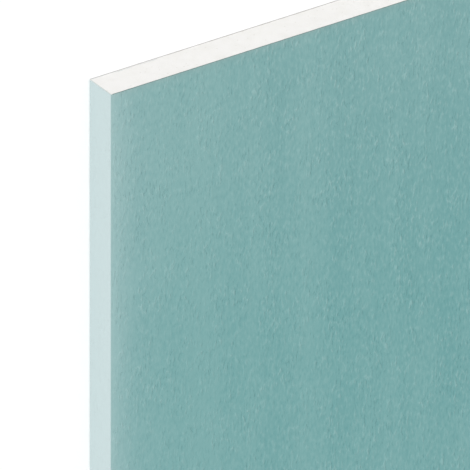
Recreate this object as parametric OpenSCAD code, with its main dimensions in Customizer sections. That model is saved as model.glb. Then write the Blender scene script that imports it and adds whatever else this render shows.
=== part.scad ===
// Square-edge gypsum board. A gypsum core is cast between two papers: the face
// paper is folded round both long edges and lapped onto the back, and the back
// paper is glued over those laps. The board is pressed flat while the core is wet,
// so each lap steps in by the back paper's thickness where that paper covers it.
// Both ends are cut square and show the core.
// The sheet lies flat, face up: X is its width, Y its length, Z its thickness.
// The origin is under the sheet's centre, on the face that it rests on.

/* [Sheet] */
// Width over the two folded long edges
sheet_w = 1200; // [400:50:1250]
// Length between the two cut ends
sheet_l = 2400; // [600:50:3600]
// Thickness over both papers
sheet_t = 12.5; // [6:0.5:25]

/* [Papers] */
// Thickness of the face paper
face_paper_t = 0.4; // [0.2:0.05:0.8]
// Thickness of the back paper
back_paper_t = 0.4; // [0.2:0.05:0.8]

/* [Long edges] */
// Radius of the core's long corners, inside the folds of the face paper
core_corner_r = 0.3; // [0.2:0.1:1.5]
// Width of the face paper's lap on the back
lap_w = 25; // [15:1:60]
// Outer strip of each lap that the back paper leaves bare
bare_lap_w = 10; // [4:1:14]

/* [Hidden] */
$fn = 48;

face_colour = "#81ADAC";
core_colour = "#F5F4F2";
back_colour = "#BFBBB2";

// Underside of the core over the laps, where they lie on the back paper
lap_top_z = back_paper_t + face_paper_t;
// Top of the core, under the face paper
core_top_z = sheet_t - face_paper_t;
core_w = sheet_w - 2 * face_paper_t;
// Strip of the core's back between the two laps
open_back_w = sheet_w - 2 * lap_w;
back_paper_w = sheet_w - 2 * bare_lap_w;
// Recess in the core's back for the back paper and the steps of the laps beside it
recess_w = back_paper_w + 2 * face_paper_t;
fold_r = core_corner_r + face_paper_t;

// Section w wide from z0 up to z1, centred on X, with its corners rounded to r
module rounded_section(w, z0, z1, r) {
    translate([-w / 2 + r, z0]) square([w - 2 * r, z1 - z0]);
    translate([-w / 2, z0 + r]) square([w, z1 - z0 - 2 * r]);
    for (side = [-1, 1], z = [z0 + r, z1 - r])
        translate([side * (w / 2 - r), z]) circle(r = r);
}

// Section w wide from z0 up to z1, centred on X, with square corners
module square_section(w, z0, z1) {
    translate([-w / 2, z0]) square([w, z1 - z0]);
}

// The core inside the folded paper, recessed for the laps, with the strip of its
// back that stands down between them
module core_section() {
    difference() {
        rounded_section(core_w, face_paper_t, core_top_z, core_corner_r);
        square_section(recess_w, 0, lap_top_z);
    }
    square_section(open_back_w, back_paper_t, core_top_z);
}

module back_paper_section() {
    square_section(back_paper_w, 0, back_paper_t);
}

// Runs a section in X and Z along the whole length of the sheet
module along_sheet() {
    rotate([90, 0, 0]) linear_extrude(height = sheet_l, center = true) children();
}

module gypsum_core() {
    color(core_colour) along_sheet() core_section();
}

// One sheet of paper over the face, round both long edges, bare along the back's
// outer strips and then stepped in over the back paper
module face_paper() {
    color(face_colour) along_sheet() difference() {
        rounded_section(sheet_w, 0, sheet_t, fold_r);
        core_section();
        back_paper_section();
    }
}

// Flat paper over the core's back and the inner part of both laps
module back_paper() {
    color(back_colour) along_sheet() back_paper_section();
}

gypsum_core();
face_paper();
back_paper();
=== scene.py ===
import math

import bmesh
import bpy
from mathutils import Matrix, Vector


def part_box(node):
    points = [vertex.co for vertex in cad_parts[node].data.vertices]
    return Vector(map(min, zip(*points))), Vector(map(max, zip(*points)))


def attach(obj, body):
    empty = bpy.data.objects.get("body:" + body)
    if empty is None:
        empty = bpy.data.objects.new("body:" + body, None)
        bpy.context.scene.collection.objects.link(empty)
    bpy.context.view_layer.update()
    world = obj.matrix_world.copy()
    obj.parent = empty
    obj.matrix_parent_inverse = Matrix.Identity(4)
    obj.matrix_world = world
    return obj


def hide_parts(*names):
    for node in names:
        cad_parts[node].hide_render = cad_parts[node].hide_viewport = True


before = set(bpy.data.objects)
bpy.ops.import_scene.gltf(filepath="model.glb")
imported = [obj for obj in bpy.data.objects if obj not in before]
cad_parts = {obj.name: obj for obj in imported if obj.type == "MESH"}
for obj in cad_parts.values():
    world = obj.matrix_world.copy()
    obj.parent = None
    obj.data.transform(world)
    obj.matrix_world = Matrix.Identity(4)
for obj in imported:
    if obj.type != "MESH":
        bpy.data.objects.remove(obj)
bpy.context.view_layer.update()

# Gypsum core
# Aerated gypsum, poured as a slurry between the two papers and set hard. Both ends are sawn
# square and left bare, and the back is pressed in where the laps of the face paper lie.
core_low, core_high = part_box("gypsum_core")
wrap_low, wrap_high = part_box("face_paper")
back_low, back_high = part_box("back_paper")
half_width = wrap_high.x
half_length = wrap_high.y
paper_thickness = wrap_high.z - core_high.z
lap_width = 0.025
core_corner_radius = 0.0003
corner_steps = 5
recess_z = back_high.z + paper_thickness
recess_half = back_high.x + paper_thickness
open_back_half = half_width - lap_width
core_height = core_high.z - recess_z

# The cut end is divided finely enough to hold the unevenness that the saw leaves
middle_columns = (39, 39)
lap_columns = (20,)
edge_columns = (12,)
cut_rows = (16,)
saw_depth = 0.00018
saw_grain = 0.0030
cut_noise_layers = 3

# Two places count as one within tiny, a face looks along an axis past square_on, and edges
# gentler than smooth_angle are shaded smooth
tiny = 0.00001
square_on = 0.7
smooth_angle = math.radians(35)


def start_piece(name, size):
    """Give the primitive just added its name and size, and open its mesh for editing."""
    piece = bpy.context.object
    piece.name = name
    piece.data.name = name
    piece.scale = size
    bpy.ops.object.transform_apply(location=True, rotation=True, scale=True)
    bpy.ops.object.mode_set(mode="EDIT")
    return piece


def pick_edges(piece, wanted):
    """Select only the edges whose two end points satisfy wanted."""
    bpy.ops.mesh.select_mode(type="EDGE")
    bpy.ops.mesh.select_all(action="DESELECT")
    mesh = bmesh.from_edit_mesh(piece.data)
    for edge in mesh.edges:
        if wanted(edge.verts[0].co, edge.verts[1].co):
            edge.select_set(True)
    bmesh.update_edit_mesh(piece.data)


def pick_faces(piece, wanted):
    """Select only the faces whose centre and normal satisfy wanted."""
    bpy.ops.mesh.select_mode(type="FACE")
    bpy.ops.mesh.select_all(action="DESELECT")
    mesh = bmesh.from_edit_mesh(piece.data)
    for face in mesh.faces:
        if wanted(face.calc_center_median(), face.normal):
            face.select_set(True)
    bmesh.update_edit_mesh(piece.data)


def split_edges(piece, wanted, counts):
    """Divide each wanted edge into equal parts, once for each number in counts."""
    for count in counts:
        pick_edges(piece, wanted)
        bpy.ops.mesh.subdivide(number_cuts=count - 1)


def across(a, b):
    """True for an edge that runs across the sheet's width."""
    return abs(a.y - b.y) < tiny and abs(a.z - b.z) < tiny


def upright(a, b):
    """True for an edge that runs through the sheet's thickness."""
    return abs(a.x - b.x) < tiny and abs(a.y - b.y) < tiny


def along(a, b):
    """True for an edge that runs along the sheet's length."""
    return abs(a.x - b.x) < tiny and abs(a.z - b.z) < tiny


def wear_cut_ends(piece, depth, grain_size):
    """Sink the points of both cut ends into the sheet by an uneven depth."""
    texture = bpy.data.textures.new(piece.name + "_cut", "CLOUDS")
    texture.noise_scale = grain_size
    texture.noise_depth = cut_noise_layers
    for side, end in ((-1, "front_end"), (1, "rear_end")):
        group = piece.vertex_groups.new(name=end)
        points = [v.index for v in piece.data.vertices if v.co.y * side > half_length - tiny]
        group.add(points, 1.0, "REPLACE")
        worn = piece.modifiers.new(end, "DISPLACE")
        worn.texture = texture
        worn.texture_coords = "LOCAL"
        worn.direction = "Y"
        worn.vertex_group = end
        worn.mid_level = 0.0
        worn.strength = -side * depth
        bpy.ops.object.modifier_apply(modifier=end)
    piece.vertex_groups.clear()


bpy.ops.object.select_all(action="DESELECT")
bpy.ops.mesh.primitive_cube_add(size=1, location=(0, 0, recess_z + core_height / 2))
core = start_piece("cast_core", (core_high.x - core_low.x, 2 * half_length, core_height))
for cut_x in (-recess_half, -open_back_half, open_back_half, recess_half):
    bpy.ops.mesh.select_all(action="SELECT")
    bpy.ops.mesh.bisect(plane_co=(cut_x, 0, 0), plane_no=(1, 0, 0))
for inner, outer, columns in (
    (0, open_back_half, middle_columns),
    (open_back_half, recess_half, lap_columns),
    (recess_half, half_width, edge_columns),
):
    split_edges(
        core,
        lambda a, b: across(a, b) and min(abs(a.x), abs(b.x)) > inner - tiny
        and max(abs(a.x), abs(b.x)) < outer + tiny,
        columns,
    )
split_edges(core, upright, cut_rows)
pick_faces(
    core,
    lambda centre, normal: normal.z < -square_on and not open_back_half < abs(centre.x) < recess_half,
)
bpy.ops.mesh.extrude_region_move(TRANSFORM_OT_translate={"value": (0, 0, core_low.z - recess_z)})
pick_edges(
    core,
    lambda a, b: along(a, b) and abs(a.x) > core_high.x - tiny
    and (a.z > core_high.z - tiny or a.z < core_low.z + tiny),
)
bpy.ops.mesh.bevel(offset=core_corner_radius, segments=corner_steps, affect="EDGES")
bpy.ops.object.mode_set(mode="OBJECT")
wear_cut_ends(core, saw_depth, saw_grain)
bpy.ops.object.shade_smooth_by_angle(angle=smooth_angle)


def colour(red, green, blue):
    """The linear colour of a screen colour given from 0 to 255, by the sRGB curve."""
    parts = (red / 255, green / 255, blue / 255)
    return (*(p / 12.92 if p <= 0.04045 else ((p + 0.055) / 1.055) ** 2.4 for p in parts), 1.0)


# Grains and reaches are real sizes, a grain's width across the sheet before its length along it.
# Shares go from 0 to 1, and limits are the two values that a soft step lies between.
gypsum_white = colour(242, 241, 239)
gypsum_shade = colour(239, 238, 235)
bubble_shade = colour(222, 219, 213)
patch_size = (0.0050, 0.0050)
patch_limits = (0.40, 0.70)
powder_size = (0.0004, 0.0004)
bubble_spacing = 0.0022
bubble_radius = 0.00035
bubble_share = 0.6
gypsum_roughness = (0.90, 1.0)
gypsum_relief = 0.00004
spot_middle = 0.3
noise_limits = (0.3, 0.7)
matte_shine = 0.2


def put(tree, kind, inputs, **options):
    """Add a node, set its options, and set or link its inputs by name or number."""
    made = tree.nodes.new("ShaderNode" + kind)
    for option, value in options.items():
        setattr(made, option, value)
    for socket, value in inputs.items():
        if isinstance(value, bpy.types.NodeSocket):
            tree.links.new(value, made.inputs[socket])
        else:
            made.inputs[socket].default_value = value
    return made


def work(tree, operation, *values):
    """The result of one sum on numbers or sockets."""
    return put(tree, "Math", dict(enumerate(values)), operation=operation).outputs[0]


def mix(tree, share, first, second):
    """The first colour turning into the second by share, on the Mix node's colour sockets."""
    factor, colour_a, colour_b, colour_result = 0, 6, 7, 2
    inputs = {factor: share, colour_a: first, colour_b: second}
    return put(tree, "Mix", inputs, data_type="RGBA").outputs[colour_result]


def rise(tree, value, limits, results=(0.0, 1.0)):
    """A soft step from the first result to the second while value goes through the limits."""
    ends = {"Value": value, "From Min": limits[0], "From Max": limits[1],
            "To Min": results[0], "To Max": results[1]}
    return put(tree, "MapRange", ends, interpolation_type="SMOOTHSTEP").outputs[0]


def fall(tree, value, limits, top=1.0):
    """A soft step from top down to 0 while value goes through the limits."""
    return rise(tree, value, limits, (top, 0.0))


def grain(tree, place, size, detail=2.0, waver=0.0, level=0.0):
    """Noise with grains of a real width and length, taken at a level of its pattern."""
    width, length = size
    layout = {"Vector": place, "Location": (0, 0, level), "Scale": (1 / width, 1 / length, 1 / width)}
    stretched = put(tree, "Mapping", layout).outputs[0]
    values = {"Vector": stretched, "Scale": 1.0, "Detail": detail, "Distortion": waver}
    return put(tree, "TexNoise", values).outputs[0]


def spots(tree, place, spacing, radius):
    """Round spots of a real radius, scattered at about a real spacing: 1 inside, 0 outside."""
    cells = put(tree, "TexVoronoi", {"Vector": place, "Scale": 1 / spacing})
    rim_limits = (spot_middle * radius / spacing, radius / spacing)
    return fall(tree, cells.outputs["Distance"], rim_limits)


def open_material(piece, name):
    """A new material on a piece: its node tree and its shader's inputs."""
    material = bpy.data.materials.new(name)
    material.use_nodes = True
    piece.data.materials.clear()
    piece.data.materials.append(material)
    tree = material.node_tree
    return tree, tree.nodes["Principled BSDF"].inputs


def close_material(tree, shader, shown, roughness, relief, relief_height):
    """Give the shader its colour, roughness and relief, with the dull shine of paper and gypsum."""
    bump = put(tree, "Bump", {"Strength": 1.0, "Distance": relief_height, "Height": relief})
    tree.links.new(shown, shader["Base Color"])
    tree.links.new(roughness, shader["Roughness"])
    tree.links.new(bump.outputs[0], shader["Normal"])
    shader["Specular IOR Level"].default_value = matte_shine


tree, shader = open_material(core, "cut_gypsum")
place = put(tree, "TexCoord", {}).outputs["Object"]
patches = grain(tree, place, patch_size, detail=4.0)
powder = grain(tree, place, powder_size, detail=3.0)
bubbles = spots(tree, place, bubble_spacing, bubble_radius)
shown = mix(tree, rise(tree, patches, patch_limits), gypsum_white, gypsum_shade)
shown = mix(tree, work(tree, "MULTIPLY", bubbles, bubble_share), shown, bubble_shade)
roughness = rise(tree, powder, noise_limits, gypsum_roughness)
relief = work(tree, "SUBTRACT", powder, bubbles)
close_material(tree, shader, shown, roughness, relief, gypsum_relief)
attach(core, "root")
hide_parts("gypsum_core")

# Face paper
# One sheet of dyed board paper over the whole face. It is scored, folded round both long edges
# and glued onto the back as a lap. Its colour is painted paler towards the folds, a painted light,
# and pale past them, a painted sheen.
fold_radius = core_corner_radius + paper_thickness
fold_steps = 8
face_columns = (40, 30)
weld_distance = tiny / 10
tear_depth = 0.00012
tear_grain = 0.0025


def thicken(piece, thickness, folded):
    """Give a paper its thickness, inwards from the side drawn so far, even round any folds."""
    thick = piece.modifiers.new("paper", "SOLIDIFY")
    thick.thickness = thickness
    thick.offset = -1.0
    thick.use_even_offset = folded
    bpy.ops.object.modifier_apply(modifier="paper")


bpy.ops.object.select_all(action="DESELECT")
bpy.ops.mesh.primitive_plane_add(size=1, location=(0, 0, wrap_high.z))
face = start_piece("folded_face_paper", (2 * (half_width - fold_radius), 2 * half_length, 1))
split_edges(face, across, face_columns)
for side in (-1, 1):
    pick_edges(face, lambda a, b: along(a, b) and a.x * side > half_width - fold_radius - tiny)
    fold_x = side * (half_width - fold_radius)
    down_edge = (0, 0, wrap_low.z - wrap_high.z + 2 * fold_radius)
    bare_strip = (side * (back_high.x - half_width + fold_radius), 0, 0)
    step_in = (0, 0, back_high.z - back_low.z)
    tucked_strip = (side * (open_back_half - back_high.x), 0, 0)
    for fold_z, runs in (
        (wrap_high.z - fold_radius, (down_edge,)),
        (wrap_low.z + fold_radius, (bare_strip, step_in, tucked_strip)),
    ):
        bpy.ops.mesh.spin(
            steps=fold_steps, angle=-side * math.pi / 2, center=(fold_x, 0, fold_z), axis=(0, 1, 0)
        )
        for run in runs:
            bpy.ops.mesh.extrude_edges_move(TRANSFORM_OT_translate={"value": run})
bpy.ops.mesh.select_all(action="SELECT")
bpy.ops.mesh.remove_doubles(threshold=weld_distance)
bpy.ops.mesh.normals_make_consistent(inside=False)
bpy.ops.object.mode_set(mode="OBJECT")
wear_cut_ends(face, tear_depth, tear_grain)
thicken(face, paper_thickness, folded=True)
bpy.ops.object.shade_smooth_by_angle(angle=smooth_angle)

# The dye: its tones and the frayed cut ends, with painted light: paler towards the folds and the
# cut ends, a painted shade in each crease, painted highlights on the streaks and a painted sheen
# past the folds
teal_deep = colour(108, 161, 161)
teal_light = colour(125, 172, 171)
teal_highlight = colour(141, 183, 182)
teal_edge_lit = colour(191, 213, 214)
edge_sheen_pale = colour(193, 209, 210)
crease_shade_grey = colour(110, 122, 119)
fray_grey = colour(162, 168, 165)
tone_limits = (0.325, 0.605)
highlight_limits = (0.52, 0.75)
highlight_share = 0.52
end_light_reach = 0.120
end_light_share = 0.056
fray_reach = 0.0012
fray_share = 0.25
edge_light_reach = 0.0085
edge_light_share = 0.37
crease_shade_limits = (0.0003, 0.0008)
crease_shade_share = 0.20
fold_limits = (0.00001, 0.00014)
lap_limits = (0.0010, 0.0020)

# The raw pulp of the cut edges: under the face, round the fold, tucked in the lap, on the back
pulp_teal = colour(114, 137, 134)
pulp_pale = colour(207, 215, 213)
pulp_glued = colour(234, 233, 231)
pulp_bare = colour(196, 195, 194)
pulp_fold_limits = (0.0004, 0.0007)

# The grain: clouds, mottle, roller bands and streaks tint the dye, and streaks, furrows and dents
# give the relief, stronger in clusters. A level settles where a wide noise is light or dark.
cloud_size = (0.25, 0.40)
cloud_level = 4.2
cloud_share = 0.24
mottle_size = (0.012, 0.020)
mottle_level = 10.5
mottle_share = 0.14
roller_size = (0.012, 1.5)
roller_level = 20.3
roller_share = 0.20
streak_size = (0.00085, 0.0020)
streak_share = 0.35
furrow_size = (0.0013, 0.0080)
furrow_weight = 1.6
fibre_waver = 0.3
cluster_size = (0.0050, 0.0080)
cluster_limits = (0.38, 0.64)
cluster_strength = (0.35, 1.35)
fleck_limits = (0.56, 0.76)
pit_limits = (0.24, 0.44)
dent_spacing = 0.0100
dent_radius = 0.0007
edge_relief_limits = (0.0, 0.0015)
edge_relief_share = 0.60
face_roughness = (0.80, 0.95)
face_relief = 0.000088


def fade(tree, distance, reach, share):
    """A share that dies away with distance, falling to about a third over each reach."""
    return work(tree, "MULTIPLY", work(tree, "EXPONENT", work(tree, "DIVIDE", distance, -reach)), share)


def weighed(tree, parts):
    """The sum of several values, each times its own share."""
    total = 0.0
    for value, share in parts:
        total = work(tree, "MULTIPLY_ADD", value, share, total)
    return total


def cut_edges(tree, normal):
    """1 on the cut edges at both ends of a paper, 0 on its faces."""
    facing = put(tree, "SeparateXYZ", {"Vector": normal}).outputs
    return work(tree, "GREATER_THAN", work(tree, "ABSOLUTE", facing["Y"]), square_on)


tree, shader = open_material(face, "teal_board_paper")
coords = put(tree, "TexCoord", {}).outputs
place = coords["Object"]
axes = put(tree, "SeparateXYZ", {"Vector": place}).outputs
from_edge = work(tree, "SUBTRACT", half_width, work(tree, "ABSOLUTE", axes["X"]))
from_end = work(tree, "SUBTRACT", half_length, work(tree, "ABSOLUTE", axes["Y"]))
clouds = grain(tree, place, cloud_size, detail=3.0, level=cloud_level)
mottle = grain(tree, place, mottle_size, detail=3.0, level=mottle_level)
rollers = grain(tree, place, roller_size, level=roller_level)
streaks = grain(tree, place, streak_size, detail=1.0, waver=fibre_waver)
furrows = grain(tree, place, furrow_size, waver=fibre_waver)
dents = spots(tree, place, dent_spacing, dent_radius)
strength = rise(tree, grain(tree, place, cluster_size), cluster_limits, cluster_strength)

tone = weighed(tree, (
    (clouds, cloud_share), (mottle, mottle_share), (rollers, roller_share), (streaks, streak_share),
))
# Painted highlight: the raised streaks are painted lighter, standing in for the light that the bump's
# shading takes from their lit sides
streak_highlight = work(tree, "MULTIPLY", rise(tree, streaks, highlight_limits, (0.0, highlight_share)), strength)
# Painted light: the face is painted lighter towards both cut ends, fading over the reach
end_light = fall(tree, from_end, (0.0, end_light_reach), end_light_share)
frayed = fade(tree, from_end, fray_reach, fray_share)
# Painted light: the face is painted paler towards both long edges
edge_light = fade(tree, from_edge, edge_light_reach, edge_light_share)
# Painted shade: a darker line in the crease just inside each fold
crease_shade = fall(tree, from_edge, crease_shade_limits, crease_shade_share)
on_fold = fall(tree, from_edge, fold_limits)
on_lap = fall(tree, axes["Z"], lap_limits)
shown = mix(tree, rise(tree, tone, tone_limits), teal_deep, teal_light)
shown = mix(tree, streak_highlight, shown, teal_highlight)
shown = mix(tree, end_light, shown, gypsum_white)
shown = mix(tree, frayed, shown, fray_grey)
shown = mix(tree, edge_light, shown, teal_edge_lit)
shown = mix(tree, crease_shade, shown, crease_shade_grey)
# Painted sheen: the edge strip and the laps past the folds are painted pale
shown = mix(tree, work(tree, "MAXIMUM", on_fold, on_lap), shown, edge_sheen_pale)

pulp_at_fold = fall(tree, from_edge, pulp_fold_limits)
pulp_in_lap = work(tree, "LESS_THAN", axes["Z"], recess_z + tiny)
pulp_on_back = work(tree, "LESS_THAN", axes["Z"], back_high.z + tiny)
pulp = mix(tree, pulp_at_fold, pulp_teal, pulp_pale)
pulp = mix(tree, pulp_in_lap, pulp, pulp_glued)
pulp = mix(tree, pulp_on_back, pulp, pulp_bare)
shown = mix(tree, cut_edges(tree, coords["Normal"]), shown, pulp)

flecks = rise(tree, streaks, fleck_limits)
pits = fall(tree, streaks, pit_limits)
edge_relief = rise(tree, from_edge, edge_relief_limits, (edge_relief_share, 1.0))
relief = work(tree, "SUBTRACT", flecks, pits)
relief = work(tree, "MULTIPLY_ADD", furrows, furrow_weight, relief)
relief = work(tree, "MULTIPLY", relief, strength)
relief = work(tree, "SUBTRACT", relief, dents)
relief = work(tree, "MULTIPLY", relief, edge_relief)
roughness = rise(tree, streaks, noise_limits, face_roughness)
close_material(tree, shader, shown, roughness, relief, face_relief)
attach(face, "root")
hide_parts("face_paper")

# Back paper
# One flat sheet of grey recycled board paper, glued over the core's back and the inner part of
# both laps. Its long edges stop short of the sheet's, and its ends are cut with the core.
back_columns = (40, 30)

bpy.ops.object.select_all(action="DESELECT")
bpy.ops.mesh.primitive_plane_add(size=1, location=(0, 0, back_high.z))
back = start_piece("flat_back_paper", (back_high.x - back_low.x, 2 * half_length, 1))
split_edges(back, across, back_columns)
bpy.ops.object.mode_set(mode="OBJECT")
wear_cut_ends(back, tear_depth, tear_grain)
thicken(back, back_high.z - back_low.z, folded=False)

grey_paper = colour(194, 190, 182)
grey_paper_dark = colour(188, 183, 174)
fibre_light = colour(208, 205, 198)
back_cloud_size = (0.060, 0.090)
back_cloud_limits = (0.35, 0.65)
back_streak_size = (0.00060, 0.0026)
fibre_size = (0.00035, 0.0028)
fibre_curl = 0.6
fibre_limits = (0.55, 0.75)
fibre_share = 0.45
back_roughness = (0.85, 0.95)
back_relief = 0.00010

tree, shader = open_material(back, "grey_board_paper")
coords = put(tree, "TexCoord", {}).outputs
place = coords["Object"]
clouds = grain(tree, place, back_cloud_size, detail=3.0)
streaks = grain(tree, place, back_streak_size)
fibres = grain(tree, place, fibre_size, waver=fibre_curl)
shown = mix(tree, rise(tree, clouds, back_cloud_limits), grey_paper, grey_paper_dark)
shown = mix(tree, rise(tree, fibres, fibre_limits, (0.0, fibre_share)), shown, fibre_light)
shown = mix(tree, cut_edges(tree, coords["Normal"]), shown, pulp_bare)
roughness = rise(tree, streaks, noise_limits, back_roughness)
close_material(tree, shader, shown, roughness, streaks, back_relief)
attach(back, "root")
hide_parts("back_paper")

# Floor
# A plain white studio floor, far larger than the sheet. It keeps the sheet's shadow, and a
# little added brightness that only the picture sees brings it up to white.
floor_size = 60.0
floor_white = (0.95, 0.95, 0.95, 1.0)
floor_lift = 0.08
pure_white = (1.0, 1.0, 1.0, 1.0)


def seen_by_picture(tree):
    """1 for what the camera sees, straight, mirrored or through glass, 0 for light on the sheet."""
    path = put(tree, "LightPath", {}).outputs
    seen = work(tree, "MAXIMUM", path["Is Camera Ray"], path["Is Glossy Ray"])
    return work(tree, "MAXIMUM", seen, path["Is Transmission Ray"])


bpy.ops.object.select_all(action="DESELECT")
bpy.ops.mesh.primitive_plane_add(size=floor_size, location=(0, 0, 0))
floor = bpy.context.object
floor.name = "studio_floor"
tree, shader = open_material(floor, "white_floor")
shader["Base Color"].default_value = floor_white
shader["Roughness"].default_value = 1.0
shader["Specular IOR Level"].default_value = 0.0
shader["Emission Color"].default_value = pure_white
tree.links.new(work(tree, "MULTIPLY", seen_by_picture(tree), floor_lift), shader["Emission Strength"])

# Studio light
# An even white room and one broad soft lamp, low over the folded long edge that the picture
# shows, so that it rakes across the paper's grain.
room_level = 0.70
room_seen_level = 1.0
lamp_level = 1.50
lamp_softness = math.radians(24)
lamp_from = Vector((0.66, -0.40, 0.62))

world = bpy.data.worlds.new("white_room")
bpy.context.scene.world = world
world.use_nodes = True
tree = world.node_tree
room = tree.nodes["Background"].inputs
room["Color"].default_value = pure_white
room_strength = rise(tree, seen_by_picture(tree), (0.0, 1.0), (room_level, room_seen_level))
tree.links.new(room_strength, room["Strength"])

bpy.ops.object.light_add(type="SUN")
lamp = bpy.context.object
lamp.name = "soft_lamp"
lamp.data.energy = lamp_level
lamp.data.angle = lamp_softness
lamp.rotation_euler = lamp_from.to_track_quat("Z", "Y").to_euler()

# Camera
# A very long lens, far off, gives the picture's nearly parallel lines. It looks down on one corner
# of the face, with the cut end at the top, and leans just enough for the long edge to stand upright.
picture_pixels = 470
corner_pixel = (111.22, 95.02)
pixels_per_metre = 3212.8
lens = 1500.0
sensor = 36.0
lean = 0.0039
toward_camera = Vector((0.4937, -0.4826, 0.7235)).normalized()
cut_end_side = Vector((lean, -1, 0))

picture_up = (cut_end_side - toward_camera * cut_end_side.dot(toward_camera)).normalized()
picture_right = picture_up.cross(toward_camera)
corner = Vector((half_width, -half_length, wrap_high.z))
middle = corner + picture_right * ((picture_pixels / 2 - corner_pixel[0]) / pixels_per_metre)
middle -= picture_up * ((picture_pixels / 2 - corner_pixel[1]) / pixels_per_metre)
distance = lens / sensor * picture_pixels / pixels_per_metre
turn = Matrix((picture_right, picture_up, toward_camera)).transposed().to_4x4()

bpy.ops.object.camera_add()
camera = bpy.context.object
camera.name = "corner_camera"
camera.data.lens = lens
camera.data.sensor_width = sensor
camera.matrix_world = Matrix.Translation(middle + toward_camera * distance) @ turn
bpy.context.scene.camera = camera
bpy.context.scene.view_settings.view_transform = "Standard"
